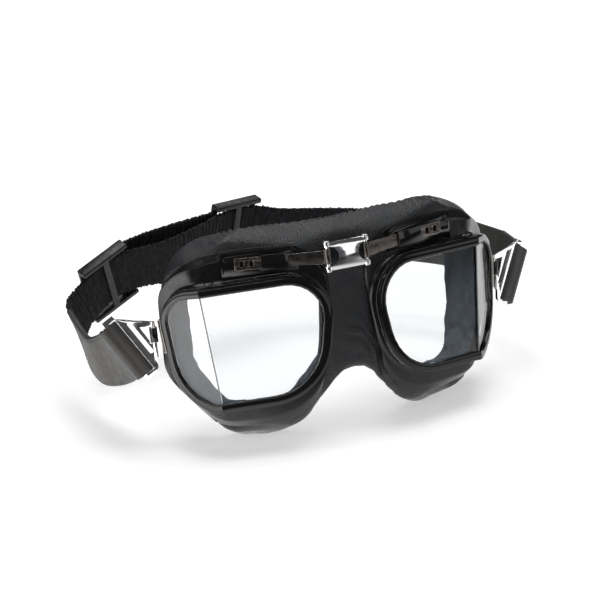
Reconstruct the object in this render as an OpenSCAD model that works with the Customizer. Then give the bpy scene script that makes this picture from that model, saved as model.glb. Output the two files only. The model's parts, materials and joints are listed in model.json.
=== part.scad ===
// Goggles with a folded pane on each side, a hinged bridge, a face cushion and an elastic head strap.
// Lengths are in millimetres and angles in degrees. The front faces -Y and +Z is up.
// Every rigid piece is drawn once, for the +X side, in the frame of an upright pair of goggles.
// The whole pair then leans back on its cushion, and the other side is a mirror image.

/* [Stance] */
// How far the goggles lean back from upright
lean = 14.4; // [10:0.1:18]
// Height of the upright frame's origin above the floor
stand_height = 64.1; // [63.9:0.1:64.3]
// How far the origin lies in front of the middle of the whole part
front_shift = 44; // [42:0.1:46]

/* [Panes and rim] */
// Sideways place of the upper end of the fold between front and side pane
fold_x = 62.7; // [60:0.1:66]
// Depth of the upper end of the fold
fold_y = 3.1; // [2:0.1:4]
// Height of the upper end of the fold
fold_top = 3.5; // [3:0.1:4]
// Height of the pane along the fold
fold_length = 45; // [44:0.1:46]
// Angle by which the front pane turns back towards the temple
wrap = 11.3; // [9:0.1:13]
// Angle between the front pane and the side pane
fold_angle = 34.7; // [30:0.1:38]
// Angle by which the fold leans in towards the nose at its lower end
fold_tilt = 5.1; // [4:0.1:6]
// Thickness of a pane
pane_t = 1.8; // [1.5:0.1:2.2]
// Sheet thickness of the rim
rim_t = 1.2; // [1:0.1:1.4]
// Width of the rim round the opening
rim_w = 4; // [3.6:0.1:4.4]
// Depth of the rim behind the front face of the panes
rim_depth = 3.2; // [3:0.1:3.6]
// Gap between the edge of a pane and the rim
pane_gap = 0.3; // [0.2:0.05:0.4]

/* [Eyecup and lining] */
// Wall thickness of the eyecup
cup_t = 1.2; // [1:0.1:1.5]
// Gap between eyecup and face cushion
cushion_gap = 0.3; // [0.2:0.05:0.5]
// Thickness of the lining
lining_t = 1; // [0.8:0.1:1.4]

/* [Bridge] */
// Distance of each hinge pin from the middle
pin_x = 8.6; // [8:0.1:9.2]
// Depth of the hinge pins
pin_y = -4.9; // [-5.4:0.1:-4.7]
// Radius of the hinge pins
pin_r = 0.8; // [0.7:0.05:0.9]
// Running clearance round a pin
pin_clear = 0.05; // [0.03:0.01:0.08]
// Outer radius of the rolled knuckles
knuckle_r = 1.5; // [1.4:0.05:1.7]
// Height of the middle of the bridge plate
bridge_z = 12.3; // [11.5:0.1:13]
// Height of the bridge plate
bridge_h = 11.8; // [11:0.1:12.5]
// Height of the knuckle in the middle of a hinge
arm_knuckle_h = 6.2; // [5.8:0.1:6.6]
// How far the bridge plate bows forward
bridge_bow = 1.6; // [1:0.1:2]
// Thickness of the bridge plate and the arms
plate_t = 0.8; // [0.6:0.05:1]

/* [Arm and sleeve] */
// Height of the flat arm
arm_h = 5; // [4.6:0.1:5.4]
// Length of the arm from the pin
arm_l = 38.6; // [37:0.1:40]
// Angle by which the arm rises outward
arm_rise = 3.3; // [2:0.1:4]
// Distance from the pin to the near end of the sleeve
sleeve_start = 16.4; // [15.5:0.1:18]
// Length of the sleeve
sleeve_l = 11.6; // [11:0.1:12.5]
// Sheet thickness of the sleeve
sleeve_t = 0.6; // [0.5:0.05:0.8]
// Clearance between arm and sleeve
arm_clear = 0.1; // [0.05:0.01:0.15]

/* [Temple bracket and link] */
// Sideways place of the hook's axis
hook_x = 78.2; // [78:0.1:79]
// Depth of the hook's axis
hook_y = 19.5; // [19:0.1:20]
// Height of the middle of the hook
hook_z = -11.1; // [-12:0.1:-10.5]
// Length of the hook
hook_l = 6.4; // [6:0.1:6.6]
// Outer radius of the rolled hook
hook_r = 1.6; // [1.5:0.05:1.7]
// Radius of the link's bar in the hook
link_pin_r = 0.9; // [0.8:0.05:1]
// Clearance between that bar and the hook
link_clear = 0.08; // [0.05:0.01:0.1]
// Thickness of the link
link_t = 1.2; // [1:0.1:1.4]
// Angle of the link's plate from straight outward
link_swing = 22; // [16:1:28]
// Angle of the leather's bar from upright
link_slant = 32; // [28:1:36]

/* [Strap] */
// Width of the elastic
elastic_w = 24.5; // [23:0.5:26]
// Thickness of the elastic
elastic_t = 1.6; // [1.2:0.1:2]
// Width of the leather strap ends
tab_w = 25.3; // [24:0.1:26]
// Thickness of the leather strap ends
tab_t = 2.2; // [1.8:0.1:2.6]
// Length of a strap slider along the strap
slider_l = 24; // [20:1:27]
// Height of a strap slider
slider_h = 31; // [30:0.5:33]
// Width of the slider's bars
slider_bar = 3; // [2.5:0.1:3.5]

/* [Hidden] */
$fn = 48;
facet = 0.01;
reach = 200;
outline_steps = 10;

// Outlines of the openings: [across, up, corner radius]
// Their edges run square across the fold for fold_flat on each side, and are drawn fold_lap past it.
// The side's edges lie fold_step lower there, so that no edges of the two halves fall together.
fold_lap = 3;
fold_flat = 2.4;
fold_step = 0.05;
function fold_point(x, t) =
    [x * cos(fold_tilt) + t * sin(fold_tilt), fold_top + t * cos(fold_tilt) - x * sin(fold_tilt), 0];
front_opening = [
    [-44.8, -41.2, 22],
    [-52.7, fold_top + 0.1, 15],
    fold_point(-fold_flat, 0),
    fold_point(fold_lap, 0),
    fold_point(fold_lap, -fold_length),
    fold_point(-fold_flat, -fold_length)
];
side_opening = [
    [-fold_lap, -fold_step, 0],
    [fold_flat, -fold_step, 0],
    [16.8, 0.8, 10],
    [16.4, 7 - fold_length, 21],
    [fold_flat, -fold_length - fold_step, 0],
    [-fold_lap, -fold_length - fold_step, 0]
];
temple_corners = [2, 3];
temple_rim_w = rim_w - 1.4;

rim_outer = rim_w;
pane_outer = rim_w - rim_t - pane_gap;
seat_back = pane_t + 1;
cup_front = rim_depth + 0.05;

bridge_bottom = bridge_z - bridge_h / 2;
bridge_top = bridge_z + bridge_h / 2;
knuckle_gap = 0.2;
outer_knuckle_h = (bridge_h - arm_knuckle_h) / 2 - knuckle_gap;

brow_front = plate_t / 2 + arm_clear;
hook_bore = link_pin_r + link_clear;

// Rounded outlines
function unit(v) = v / norm(v);
function before(list, i) = list[(i + len(list) - 1) % len(list)];
function after(list, i) = list[(i + 1) % len(list)];
function flat(p) = [p[0], p[1]];

// Points along the rounding of corner b between its neighbours a and c
function corner_arc(a, b, c, radius, steps) =
    let (
        to_a = unit(flat(a) - flat(b)),
        to_c = unit(flat(c) - flat(b)),
        opening = acos(max(-1, min(1, to_a * to_c))),
        turn = 180 - opening
    )
    steps < 2 || radius <= 0 ? [flat(b)]
    : turn < 3 ? [for (k = [0:steps - 1])
        let (f = k / (steps - 1)) flat(b) + radius * ((1 - f) * to_a + f * to_c)]
    : let (
        centre = flat(b) + unit(to_a + to_c) * radius / sin(opening / 2),
        start = flat(b) + to_a * radius / tan(opening / 2) - centre,
        finish = flat(b) + to_c * radius / tan(opening / 2) - centre
    )
    [for (k = [0:steps - 1])
        let (f = k / (steps - 1))
        centre + (sin((1 - f) * turn) * start + sin(f * turn) * finish) / sin(turn)];

function rounded(corners, steps) = [
    for (i = [0:len(corners) - 1])
        each corner_arc(before(corners, i), corners[i], after(corners, i), corners[i][2], steps)
];

// The same corners moved outward by d, for outlines that run clockwise seen from the front
function grown(corners, d) = [
    for (i = [0:len(corners) - 1])
        let (
            into = unit(flat(corners[i]) - flat(before(corners, i))),
            out = unit(flat(after(corners, i)) - flat(corners[i])),
            side_in = [-into[1], into[0]],
            side_out = [-out[1], out[0]],
            shift = (side_in + side_out) * d / (1 + side_in * side_out),
            p = flat(corners[i]) + shift,
            r = corners[i][2] > 0 ? max(0.5, corners[i][2] + d) : 0
        )
        [p[0], p[1], r, corners[i][3]]
];

// Side outline of the rim, narrower along the temple than along the top and bottom
function side_grown(d) =
    let (
        g = grown(side_opening, d),
        inset = (rim_w - temple_rim_w) * d / rim_w
    )
    [for (i = [0:len(g) - 1])
        len(search(i, temple_corners)) > 0 ? [g[i][0] - inset, g[i][1], g[i][2]] : g[i]
    ];

// Frames of the panes
module front_frame() {
    translate([fold_x, fold_y, 0]) rotate([0, 0, wrap]) children();
}

module fold_frame() {
    front_frame() translate([0, 0, fold_top]) rotate([0, fold_tilt, 0]) children();
}

module side_frame() {
    fold_frame() rotate([0, 0, fold_angle]) children();
}

// Sheet from depth v0 to depth v1 behind the front face of a pane
module sheet(v0, v1) {
    translate([0, v1, 0]) rotate([90, 0, 0]) linear_extrude(v1 - v0) children();
}

// Half-space on one side of the mitre through the fold: -1 keeps the front, 1 the side
module mitre(keep, gap = 0) {
    fold_frame() rotate([0, 0, fold_angle / 2])
        translate([keep * (reach / 2 + gap), 0, 0]) cube(reach, center = true);
}

// A ring or a plate of both panes, with an outline given by how far it is grown
module folded(v0, v1, outer, inner, gap = 0) {
    intersection() {
        front_frame() sheet(v0, v1) difference() {
            polygon(rounded(grown(front_opening, outer), outline_steps));
            if (inner > -1) polygon(rounded(grown(front_opening, inner), outline_steps));
        }
        mitre(-1, gap);
    }
    intersection() {
        side_frame() sheet(v0, v1) difference() {
            polygon(rounded(side_grown(outer), outline_steps));
            if (inner > -1) polygon(rounded(side_grown(inner), outline_steps));
        }
        mitre(1, gap);
    }
}

// Points on the panes, in the frame of the upright goggles
function turn_z(p, a) = [p[0] * cos(a) - p[1] * sin(a), p[0] * sin(a) + p[1] * cos(a), p[2]];
function turn_y(p, a) = [p[0] * cos(a) + p[2] * sin(a), p[1], p[2] * cos(a) - p[0] * sin(a)];
function on_front(u, z, v) = [fold_x, fold_y, 0] + turn_z([u, v, z], wrap);
function on_side(s, t, v) =
    [fold_x, fold_y, 0] + turn_z([0, 0, fold_top] + turn_y(turn_z([s, v, t], fold_angle), fold_tilt), wrap);

// Depth of the panes' front face, and a point d behind it
function pane_depth(x, z) =
    fold_y + (x - fold_x) * tan(wrap)
    + max(0, x - fold_x - (z - fold_top) * tan(fold_tilt)) * (tan(wrap + fold_angle) - tan(wrap));
function behind_pane(x, z, d) = [x, pane_depth(x, z) + d, z];

// Every loop of the soft forms and of the eyecup has these corners in this order:
// nose top, fold top, temple top, temple bottom, lobe, inner bottom, nose shoulder, arch, nose side
loop_steps = [5, 1, 6, 5, 5, 5, 3, 1, 1];

function loop_arcs(corners) = [
    for (i = [0:len(corners) - 1])
        for (p = corner_arc(before(corners, i), corners[i], after(corners, i), corners[i][2], loop_steps[i]))
            [p[0], p[1], corners[i][3]]
];
function loop_behind_pane(corners, shift = 0) =
    [for (p = loop_arcs(corners)) behind_pane(p[0], p[1], p[2] + shift)];
function loop_at_depth(corners) = [for (p = loop_arcs(corners)) [p[0], p[2], p[1]]];

// Loop along the rim's outer edge, grown by g and v behind the panes
nose_edge_steps = [0.1, 0.15, 0.2, 0.45, 0.8];
function rim_loop(g, v) =
    let (
        f = grown(front_opening, g),
        s = side_grown(g),
        nose_top = corner_arc(f[0], f[1], f[2], f[1][2], loop_steps[0]),
        temple_top = corner_arc(s[1], s[2], s[3], s[2][2], loop_steps[2]),
        temple_bottom = corner_arc(s[2], s[3], s[4], s[3][2], loop_steps[3]),
        inner_bottom = corner_arc(f[5], f[0], f[1], f[0][2], loop_steps[5]),
        nose_edge = [for (k = nose_edge_steps)
            (1 - k) * inner_bottom[len(inner_bottom) - 1] + k * nose_top[0]],
        bend = v * tan(fold_angle / 2),
        low_side = [for (x = [s[4][0], (s[4][0] + bend) / 2, bend]) on_side(x, -fold_length - g, v)],
        low_bend = fold_point(-bend, -fold_length - g),
        low_front = [for (p = [(low_bend + f[5]) / 2, f[5]]) on_front(p[0], p[1], v)]
    )
    concat(
        [for (p = nose_top) on_front(p[0], p[1], v)],
        [on_side(bend, g, v)],
        [for (p = temple_top) on_side(p[0], p[1], v)],
        [for (p = temple_bottom) on_side(p[0], p[1], v)],
        low_side,
        low_front,
        [for (p = inner_bottom) on_front(p[0], p[1], v)],
        [for (p = nose_edge) on_front(p[0], p[1], v)]
    );

// Closed ring skinned over loops that have equal numbers of points
// Where two skins lie on each other, one takes the other diagonal, because its loops run back to front
module ring_skin(loops, other_diagonal = false) {
    rows = len(loops);
    count = len(loops[0]);
    function at(k, i) = (k % rows) * count + i % count;
    polyhedron(
        points = [for (l = loops) each l],
        faces = [for (k = [0:rows - 1]) for (i = [0:count - 1])
            let (a = at(k, i), b = at(k + 1, i), c = at(k + 1, i + 1), d = at(k, i + 1))
            each other_diagonal ? [[a, b, d], [b, c, d]] : [[a, b, c], [a, c, d]]],
        convexity = 8
    );
}

// Corners of the eyecup: [x, z, radius, depth behind the panes]
cup_ledge_grow = 0.7;
brow_edge = [
    [6.3, 16.5, 18, 4.9], [50, 17.6, 0, 4.9], [74.4, 12, 14, 6], [74.3, -30.5, 20, 5.5],
    [57.7, -50.3, 15, 5.5], [14, -51.5, 24, 5], [11.6, -28, 1, 4.8], [10.7, -20, 0, 4.8], [8.9, -4, 0, 4.8]
];
seam = [
    [5.7, 19, 20, 5.8], [54, 20.5, 0, 7.5], [72.3, 13.8, 18, 9.2], [72.9, -31.5, 22, 9], [56.4, -54, 16, 10],
    [15, -55, 24, 7], [11, -28, 1, 5.8], [10.1, -20, 0, 5.8], [8.2, -4, 0, 5.8]
];

// Corners of the face cushion: [x, z, radius, depth from the origin]
cushion_edge = [
    [-8, 21.2, 6, 2], [48, 24.5, 0, 8.5], [72.4, 18.2, 20, 20.5], [72.3, -31.5, 24, 22], [55, -57, 18, 11],
    [21.5, -56.5, 12, 5], [6, -36.4, 6, -1.5], [-8, -33.4, 0, -1.6], [-8, 2, 0, -1]
];
cushion_crown = [
    [-8, 26, 8, 9], [40, 27, 0, 13.5], [72, 20.5, 24, 24.7], [71.4, -31, 26, 26.7], [49.5, -59.8, 16, 16.5],
    [27, -59.3, 12, 10.5], [6, -38, 6, 1], [-8, -34.8, 0, 0.5], [-8, 4, 0, 0.6]
];
cushion_back = [
    [-8, 24.3, 8, 15], [40, 25.3, 0, 17.5], [70.6, 18.6, 24, 28.7], [70, -31, 24, 30.2], [47, -61.4, 14, 21],
    [31.5, -61.4, 12, 17], [7.5, -38, 5, 2.5], [-8, -34.4, 0, 2.3], [-8, 4, 0, 2.6]
];
cushion_rear = [
    [-8, 20.3, 8, 17.5], [40, 21.2, 0, 20], [67.8, 15.5, 22, 31], [67, -30, 24, 32], [47, -58.8, 14, 24],
    [31.5, -58.8, 12, 20], [8.8, -37, 4, 5.4], [-4, -30.6, 0, 3.4], [-4, 2, 0, 4]
];
cushion_crest = [
    [4.4, 15, 11, 15.5], [40, 17, 0, 20], [63.6, 12.3, 18, 31.5], [63, -28.5, 20, 32.5], [47, -53, 12, 24.6],
    [28.5, -53, 11, 19], [9.6, -34.4, 4, 8], [6.6, -24, 0, 7], [4.9, 0, 0, 7.4]
];
cushion_lip = [
    [6.4, 11.2, 13, 12], [42, 13.2, 0, 17], [59.9, 9, 16, 28.5], [59.4, -27, 18, 29.5], [50, -47.4, 12, 22.5],
    [22, -47.4, 13, 15.5], [11.2, -31, 3, 7.4], [8.8, -23, 0, 6.3], [7.4, -1, 0, 6.4]
];
cushion_wall = [
    [8.8, 10.8, 16, 7.4], [54, 13.4, 0, 13.5], [62.5, 9.2, 15, 24], [62.2, -27, 20, 25], [51, -48.6, 13, 17],
    [21, -48.8, 15, 12.3], [12.8, -29, 2, 4.3], [11.5, -22, 0, 3.3], [9.9, -3, 0, 2.8]
];
inner_inset = -3;

// Strap route: [[x, y, z], direction across the strap], in a frame with the upright goggles' origin at this height
strap_height = 65.7;
left_tab_route = [
    [[-90.3, 28, 37], [-0.42, 0.3, 0.86]],
    [[-91.2, 35.5, 32.4], [-0.35, 0.15, 0.92]],
    [[-93.3, 43, 29.3], [-0.29, -0.05, 0.96]],
    [[-94, 51, 29.4], [-0.26, -0.25, 0.93]],
    [[-93.8, 61, 32], [-0.32, -0.33, 0.89]],
    [[-93.1, 68, 34], [-0.4, -0.33, 0.86]]
];
elastic_route = [
    [[-92.9, 68.4, 34.1], [-0.41, -0.33, 0.85]],
    [[-91, 73.5, 36.2], [-0.45, -0.31, 0.84]],
    [[-87, 76.9, 38.6], [-0.44, -0.34, 0.83]],
    [[-80.3, 80.2, 42.2], [-0.44, -0.36, 0.82]],
    [[-72, 83, 46], [-0.38, -0.33, 0.86]],
    [[-62.4, 83.9, 48.2], [-0.34, -0.3, 0.89]],
    [[-46.2, 84.4, 48.8], [-0.23, -0.29, 0.93]],
    [[-28.3, 89.6, 50.2], [-0.05, -0.23, 0.97]],
    [[-17.8, 93.9, 51.4], [0.03, -0.17, 0.99]],
    [[-7.5, 97, 51.2], [0.11, -0.11, 0.99]],
    [[2.7, 98.4, 49.1], [0.17, -0.09, 0.98]],
    [[12, 97.9, 46.5], [0.18, -0.08, 0.98]],
    [[32.3, 94.8, 43.4], [0.16, -0.04, 0.99]],
    [[47.2, 88.5, 41.6], [0.05, 0, 1]],
    [[63.9, 78.2, 41.8], [0, 0, 1]],
    [[80.4, 64.6, 42.5], [0.08, 0.06, 0.99]],
    [[88.6, 48.4, 42.9], [0.18, 0.09, 0.98]],
    [[91.8, 37.9, 43.4], [0.24, 0.14, 0.96]]
];
right_tab_route = [
    [[92.2, 27.5, 42.3], [0.4, 0.26, 0.88]],
    [[91.9, 37.5, 43.4], [0.24, 0.14, 0.96]]
];
// Second layer of the elastic, between the sliders
return_route = [
    [[-68.1, 88.2, 47.9], [-0.36, -0.32, 0.88]],
    [[-58.1, 90.8, 50.6], [-0.3, -0.3, 0.9]],
    [[-45, 92, 52], [-0.22, -0.27, 0.94]],
    [[-34, 93.7, 52.2], [-0.12, -0.24, 0.96]],
    [[-25, 95.8, 51.8], [-0.03, -0.2, 0.98]]
];
slider_front_at = 3.85;
slider_back_at = 8.8;

// Smooth curve through the stations of a route, at a place counted in stations
function clamped(list, i) = list[max(0, min(len(list) - 1, i))];
function curve(a, b, c, d, f) =
    b + (c - a) * f / 2 + (2 * a - 5 * b + 4 * c - d) * f * f / 2 + (3 * b - a - 3 * c + d) * f * f * f / 2;
function route_part(route, place, part) =
    let (i = min(len(route) - 2, floor(place)), f = place - i)
    curve(clamped(route, i - 1)[part], route[i][part], route[i + 1][part], clamped(route, i + 2)[part], f);
function route_along(route, place) =
    let (
        next = min(len(route) - 1, place + facet),
        last = max(0, place - facet)
    )
    unit(route_part(route, next, 0) - route_part(route, last, 0));
function square_to(w, along) = unit(w - (w * along) * along);

// Corner points of the band at one place
function band_ring(route, place, width, thick) =
    let (
        centre = route_part(route, place, 0),
        across = unit(route_part(route, place, 1)) * width / 2,
        out = unit(cross(route_along(route, place), across)) * thick / 2
    )
    [centre + across + out, centre + across - out, centre - across - out, centre - across + out];

module band(route, width, thick, steps = 3) {
    last = (len(route) - 1) * steps;
    rings = [for (k = [0:last]) band_ring(route, k / steps, width, thick)];
    polyhedron(
        points = [for (r = rings) each r],
        faces = concat(
            [[2, 1, 0], [3, 2, 0]],
            [for (k = [0:last - 1]) for (i = [0:3])
                let (a = 4 * k + i, b = 4 * k + (i + 1) % 4)
                each [[b + 4, a + 4, a], [b, b + 4, a]]],
            [[4 * last, 4 * last + 1, 4 * last + 2], [4 * last, 4 * last + 2, 4 * last + 3]]
        ),
        convexity = 6
    );
}

// From the upright goggles to the floor, and from the strap's frame to the middle of the part
module leaning() {
    translate([0, -front_shift, stand_height]) rotate([-lean, 0, 0]) children();
}

module on_side_of(side) {
    leaning() mirror([side < 0 ? 1 : 0, 0, 0]) children();
}

module strap_frame() {
    translate([0, -front_shift, stand_height - strap_height]) children();
}

module above_floor() {
    intersection() {
        children();
        translate([-reach, -reach, 0]) cube([2 * reach, 2 * reach, reach]);
    }
}

// Panes, rim and seat
module lens_front(side) {
    color([0.86, 0.9, 0.92, 0.35]) on_side_of(side) intersection() {
        front_frame() sheet(0, pane_t) polygon(rounded(grown(front_opening, pane_outer), outline_steps));
        mitre(-1, pane_gap / 4);
    }
}

module lens_side(side) {
    color([0.86, 0.9, 0.92, 0.35]) on_side_of(side) intersection() {
        side_frame() sheet(0, pane_t) polygon(rounded(side_grown(pane_outer - pane_gap), outline_steps));
        mitre(1, pane_gap / 4);
    }
}

module rim(side) {
    color([0.09, 0.09, 0.1]) on_side_of(side) {
        folded(-rim_t, 0, rim_outer, 0);
        folded(-facet, rim_depth, rim_outer, rim_outer - rim_t);
    }
}

module seat_frame(side) {
    color([0.12, 0.12, 0.13]) on_side_of(side) folded(pane_t, seat_back, pane_outer, 0.4, 0.1);
}

// Eyecup, cushion and lining
module eyecup(side) {
    color([0.06, 0.06, 0.065]) on_side_of(side) ring_skin([
        rim_loop(rim_outer, cup_front),
        rim_loop(rim_outer + cup_ledge_grow, cup_front + cup_t + 0.2),
        loop_behind_pane(brow_edge),
        loop_behind_pane(seam),
        loop_behind_pane(grown(seam, -cup_t)),
        loop_behind_pane(grown(brow_edge, -cup_t), cup_t),
        rim_loop(rim_outer - 0.6, cup_front + 2 * cup_t + 0.2),
        rim_loop(rim_outer - cup_t, cup_front)
    ]);
}

module half_cushion() {
    intersection() {
        ring_skin([
            loop_behind_pane(seam, cushion_gap),
            loop_at_depth(cushion_edge),
            loop_at_depth(cushion_crown),
            loop_at_depth(cushion_back),
            loop_at_depth(cushion_rear),
            loop_at_depth(cushion_crest),
            loop_at_depth(cushion_lip),
            loop_at_depth(cushion_wall),
            loop_behind_pane(grown(seam, inner_inset), cushion_gap)
        ]);
        translate([-facet, -reach / 2, -reach / 2]) cube(reach);
    }
}

module face_cushion() {
    color([0.1, 0.1, 0.11]) above_floor() leaning() {
        half_cushion();
        mirror([1, 0, 0]) half_cushion();
    }
}

module lining(side) {
    outer = -cushion_gap;
    inner = -cushion_gap - lining_t;
    color([0.1, 0.12, 0.18]) on_side_of(side) ring_skin([
        loop_behind_pane(grown(seam, inner_inset + outer), cushion_gap),
        loop_at_depth(grown(cushion_wall, outer)),
        loop_at_depth(grown(cushion_lip, outer)),
        loop_at_depth(grown(cushion_lip, inner)),
        loop_at_depth(grown(cushion_wall, inner)),
        loop_behind_pane(grown(seam, inner_inset + inner), cushion_gap)
    ], true);
}

// Bridge
module bridge_knuckles() {
    for (x = [-pin_x, pin_x], z = [bridge_bottom, bridge_top - outer_knuckle_h])
        translate([x, pin_y, z]) cylinder(r = knuckle_r, h = outer_knuckle_h);
}

module bridge_plate() {
    bow_r = (bridge_h * bridge_h / 4 + bridge_bow * bridge_bow) / (2 * bridge_bow);
    plate_y = pin_y - knuckle_r + plate_t;
    cut_r = 4.2;
    color([0.85, 0.85, 0.86]) leaning() difference() {
        union() {
            intersection() {
                translate([-pin_x, plate_y - bridge_bow + bow_r, bridge_z]) rotate([0, 90, 0]) difference() {
                    cylinder(r = bow_r, h = 2 * pin_x, $fn = 96);
                    translate([0, 0, -1]) cylinder(r = bow_r - plate_t, h = 2 * pin_x + 2, $fn = 96);
                }
                translate([-pin_x, -reach + plate_y + plate_t, bridge_bottom])
                    cube([2 * pin_x, reach, bridge_h]);
            }
            bridge_knuckles();
        }
        for (x = [-pin_x, pin_x]) {
            translate([x, 0, bridge_z]) rotate([90, 0, 0]) cylinder(r = cut_r, h = 20);
            translate([x, pin_y, bridge_bottom - 1]) cylinder(r = pin_r + pin_clear, h = bridge_h + 2);
        }
        for (x = [-pin_x, pin_x])
            translate([x, pin_y, bridge_z - arm_knuckle_h / 2 - knuckle_gap])
                cylinder(r = knuckle_r + 0.4, h = arm_knuckle_h + 2 * knuckle_gap);
    }
}

module hinge_pins() {
    head_h = 0.5;
    head_gap = 0.1;
    color([0.75, 0.75, 0.76]) leaning() for (x = [-pin_x, pin_x]) translate([x, pin_y, 0]) {
        translate([0, 0, bridge_bottom - head_gap - head_h]) cylinder(r = pin_r + 0.5, h = head_h);
        translate([0, 0, bridge_bottom - head_gap - facet])
            cylinder(r = pin_r, h = bridge_h + 2 * head_gap + 2 * facet);
        translate([0, 0, bridge_top + head_gap]) cylinder(r = pin_r + 0.5, h = head_h);
    }
}

// Arm: origin on the pin's axis, x along the arm, y back
module arm_frame() {
    translate([pin_x, pin_y, bridge_z]) rotate([0, 0, wrap]) children();
}

module rising() {
    rotate([0, -arm_rise, 0]) children();
}

module arm(side) {
    hole_places = [arm_l - 7, arm_l - 3];
    color([0.12, 0.12, 0.12]) on_side_of(side) arm_frame() difference() {
        union() {
            translate([0, 0, -arm_knuckle_h / 2]) cylinder(r = knuckle_r, h = arm_knuckle_h);
            rising() translate([0, plate_t / 2, 0]) rotate([90, 0, 0]) linear_extrude(plate_t) polygon([
                [0, -2.9], [4, -2.9], [7.5, -arm_h / 2], [arm_l, -arm_h / 2],
                [arm_l, arm_h / 2], [7.5, arm_h / 2], [4, 2.6], [0, 2.6]
            ]);
        }
        translate([0, 0, -arm_knuckle_h]) cylinder(r = pin_r + pin_clear, h = 2 * arm_knuckle_h);
        rising() for (a = hole_places) for (z = [-0.5, 0, 0.5])
            translate([a, plate_t, z]) rotate([90, 0, 0]) cylinder(r = 0.9, h = 2 * plate_t);
    }
}

module sleeve(side) {
    inside_h = arm_h + 2 * arm_clear;
    front = plate_t / 2 + arm_clear + sleeve_t;
    color([0.07, 0.07, 0.07]) on_side_of(side) arm_frame() rising() difference() {
        translate([sleeve_start, -front, -inside_h / 2 - sleeve_t])
            cube([sleeve_l, front + brow_front, inside_h + 2 * sleeve_t]);
        translate([sleeve_start - 1, -plate_t / 2 - arm_clear, -inside_h / 2])
            cube([sleeve_l + 2, plate_t + 2 * arm_clear + 1, inside_h]);
    }
}

// Brow plate, behind the arm, with its rivets
cup_travel_in = 2;
rivet_r = 0.7;
rivet_head_r = 1.1;
rivet_head_h = 0.45;
rivet_gap = 0.3;
brow_start = 12.2;
rivet_near = brow_start + 1.8;
rivet_far = arm_l + cup_travel_in + rivet_gap + rivet_head_r;
rivet_high = arm_h / 2 + rivet_near * tan(arm_rise) + rivet_gap + rivet_head_r;
brow_end = rivet_far + 2;
brow_low = -3.4;
brow_high = rivet_high + rivet_head_r + 0.4;

module brow_plate(side) {
    color([0.05, 0.05, 0.05]) on_side_of(side) arm_frame() difference() {
        translate([0, brow_front + plate_t, 0]) rotate([90, 0, 0]) linear_extrude(plate_t) polygon([
            [brow_start, brow_low], [brow_start, brow_high], [brow_end, brow_high + 1], [brow_end, brow_low]
        ]);
        for (a = [rivet_near, rivet_far])
            translate([a, 0, rivet_high]) rotate([-90, 0, 0])
                cylinder(r = rivet_r + pin_clear, h = 5 * plate_t);
    }
}

module rivets(side) {
    color([0.1, 0.1, 0.1]) on_side_of(side) arm_frame() for (a = [rivet_near, rivet_far])
        translate([a, brow_front, rivet_high]) rotate([-90, 0, 0]) {
            translate([0, 0, -rivet_head_h]) cylinder(r = rivet_head_r, h = rivet_head_h);
            translate([0, 0, -facet]) cylinder(r = rivet_r, h = plate_t + 0.4);
        }
}

// Clamp screw on the rim's top beside the fold
module clamp_screw(side) {
    from_fold = 4.5;
    lug_r = 1.4;
    lug_h = 0.5;
    head_r = 2;
    head_h = 0.9;
    place = [-from_fold, rim_depth / 2, fold_top + rim_outer + 0.3];
    color([0.3, 0.3, 0.3]) on_side_of(side) front_frame() translate(place) {
        cylinder(r = lug_r, h = lug_h);
        translate([0, 0, lug_h]) cylinder(r = head_r, h = head_h);
    }
}

// Bracket on the temple's rim, with the hook rolled round the link's bar
module bracket(side) {
    plate_out = 1;
    plate_in = 4;
    plate_low = -21;
    plate_h = 14;
    edge = side_grown(rim_outer)[temple_corners[0]][0];
    color([0.16, 0.16, 0.16]) on_side_of(side) difference() {
        union() {
            difference() {
                side_frame() translate([edge - plate_in, -rim_t, plate_low])
                    cube([plate_in + plate_out, rim_t + rim_depth, plate_h]);
                translate([hook_x, hook_y, -reach / 2]) cylinder(r = link_pin_r + 0.6, h = reach);
            }
            translate([hook_x, hook_y, hook_z - hook_l / 2]) cylinder(r = hook_r, h = hook_l);
        }
        translate([hook_x, hook_y, -reach / 2]) cylinder(r = hook_bore, h = reach);
        side_frame() sheet(-5, 10) polygon(rounded(side_grown(rim_outer), outline_steps));
    }
}

// Link: origin on the hook's axis, x outward along the plate, z up
module link_frame() {
    translate([hook_x, hook_y, 0]) rotate([0, 0, link_swing]) children();
}

link_foot = [2, -23.5];
link_end = 1.8;
tab_low = -1.4;
tab_high = tab_low + tab_w;
tab_gap = 0.3;
slot_in = 0.2;
slot_out = 3.2;
slot_n = -3.2;
slot_r = 0.85;
slot_ends = [4.6, 19];
bar_out = 5.4;
loop_in = 0.4;
loop_out = 9.4;
loop_t = 3.6;

// Point at n beyond the leather's edge and t up along it
function slanted(n, t) = link_foot + [
    n * cos(link_slant) + t * sin(link_slant),
    -n * sin(link_slant) + t * cos(link_slant)
];

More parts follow.
